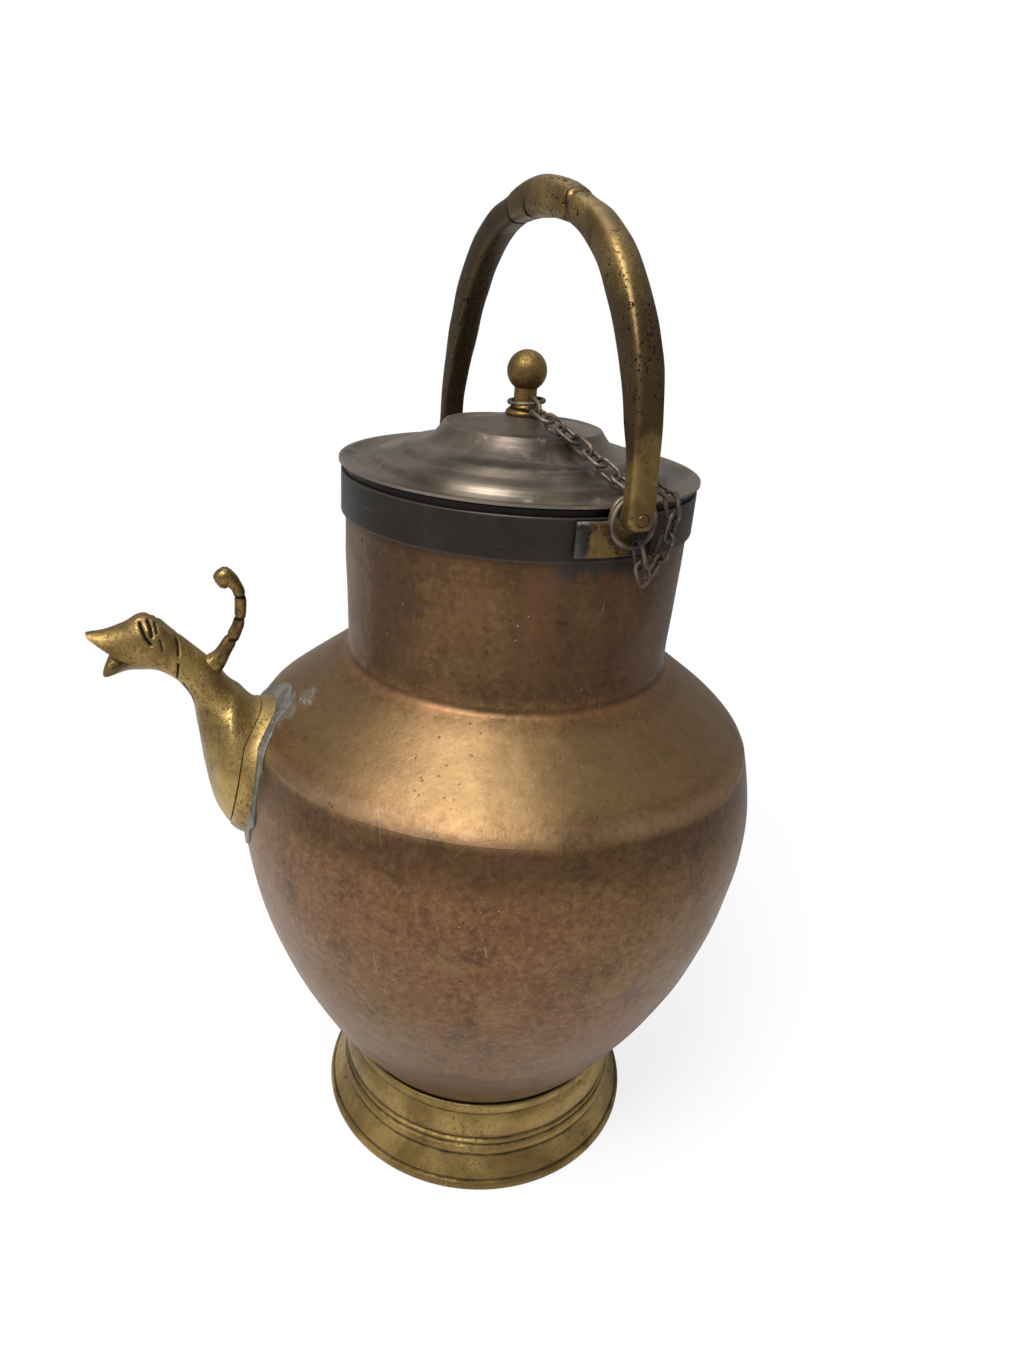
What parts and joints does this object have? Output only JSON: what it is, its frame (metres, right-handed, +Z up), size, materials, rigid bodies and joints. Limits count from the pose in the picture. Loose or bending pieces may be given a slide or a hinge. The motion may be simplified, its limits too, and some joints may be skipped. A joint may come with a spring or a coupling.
{
  "type": "lidded water jug",
  "caption": "Round-bellied copper jug on a brass foot ring, with an animal-head spout, a swinging bail handle and a lift-off lid tied to it by a chain.",
  "frame": {"origin": "middle of the outline in plan, at the bottom of the foot ring", "axes": "+Z up; the spout points along -X; the jug's own axis stands 32.2 mm to the +X side of the origin"},
  "size_m": [0.3328, 0.2684, 0.5024],
  "materials": {
    "aged_copper": "worn brown copper sheet with a soft sheen",
    "aged_brass": "cast brass, aged and pitted",
    "dark_band": "dark tarnished strip, dull",
    "lid_metal": "tinned copper gone grey-brown, dull",
    "chain_iron": "dark rusty iron wire",
    "solder": "grey-green soft solder, rough"
  },
  "bodies": {
    "vessel": {"foot_ring": "aged_brass", "lower_bowl": "aged_copper", "shoulder": "aged_copper", "neck": "aged_copper", "rim_band": "dark_band", "spout": "aged_brass", "spout_collar": "aged_brass", "spout_solder": "solder", "spout_tail": "aged_brass", "lug_near": "aged_brass", "lug_far": "aged_brass", "pivot_pin_near": "aged_brass", "pivot_pin_far": "aged_brass"},
    "bail": {"bail": "aged_brass"},
    "lid": {"lid_cover": "lid_metal", "lid_sleeve": "lid_metal", "knob": "aged_brass", "chain_stem_loop": "chain_iron", "chain_link_01": "chain_iron", "chain_link_02": "chain_iron", "chain_link_03": "chain_iron", "chain_link_04": "chain_iron", "chain_link_05": "chain_iron", "chain_link_06": "chain_iron", "chain_link_07": "chain_iron", "chain_link_08": "chain_iron", "chain_link_09": "chain_iron", "chain_link_10": "chain_iron", "chain_link_11": "chain_iron", "chain_link_12": "chain_iron", "chain_link_13": "chain_iron", "chain_link_14": "chain_iron"},
    "ring": {"chain_ring": "chain_iron", "chain_tail_1": "chain_iron", "chain_tail_2": "chain_iron"}
  },
  "joints": [
    {"name": "bail_swing", "type": "hinge", "parent": "vessel", "child": "bail", "pos_m": [0.03641, 0.00089, 0.3784], "axis": [0.2079, -0.9781, 0], "range_deg": [-73.5, 120]},
    {"name": "lid_lift", "type": "slide", "parent": "vessel", "child": "lid", "axis": [0, 0, 1], "range_m": [0, 0.03]},
    {"name": "ring_swing", "type": "hinge", "parent": "vessel", "child": "ring", "pos_m": [0.03641, 0.00089, 0.3784], "axis": [0.2079, -0.9781, 0], "range_deg": [-15, 2]}
  ]
}
